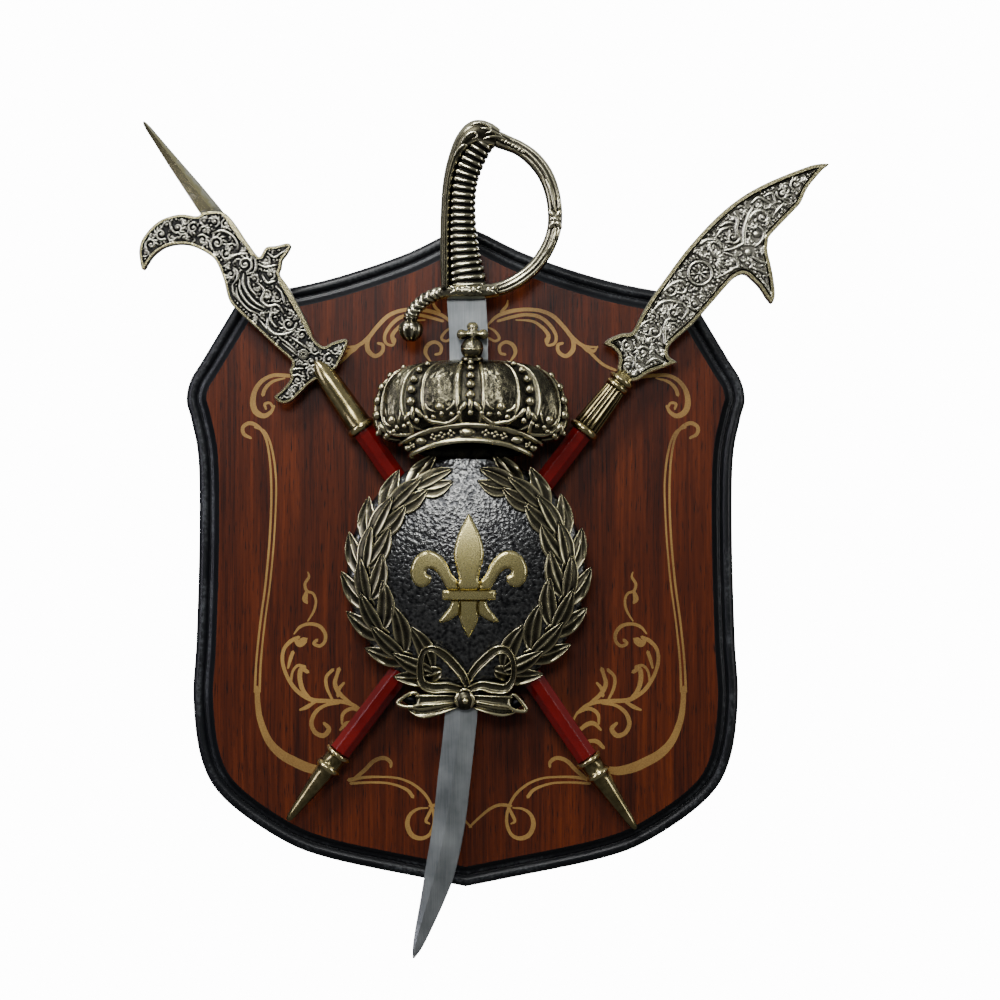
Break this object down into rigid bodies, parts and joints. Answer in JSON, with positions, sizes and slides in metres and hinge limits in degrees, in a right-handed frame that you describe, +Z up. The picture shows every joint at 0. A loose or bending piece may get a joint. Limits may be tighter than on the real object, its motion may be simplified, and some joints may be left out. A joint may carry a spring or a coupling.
{
  "type": "decorative wall shield",
  "caption": "Shield-shaped wall plaque with crossed halberd and glaive, a sabre and a crowned wreath boss on a moulded wooden board.",
  "frame": {"origin": "on the board's flat back, at the middle of its width and height", "axes": "+Y out of the back into the wall, +Z up, +X to the viewer's right; the front faces -Y"},
  "size_m": [0.3073, 0.0469, 0.372],
  "materials": {
    "board_face": "dark red-brown stained, satin",
    "antique_brass": "antiqued, dark recesses",
    "hilt_brass": "antiqued, polished high spots",
    "blade_steel": "satin",
    "shaft_red": "deep red gloss lacquer",
    "head_brass": "antiqued, polished rims"
  },
  "bodies": {
    "root": {"board": "board_face", "boss": "antique_brass", "sabre_blade": "blade_steel", "sabre_hilt": "hilt_brass", "halberd_shaft": "shaft_red", "halberd_head": "head_brass", "halberd_ferrule": "head_brass", "glaive_shaft": "shaft_red", "glaive_head": "head_brass", "glaive_ferrule": "head_brass"}
  },
  "joints": []
}
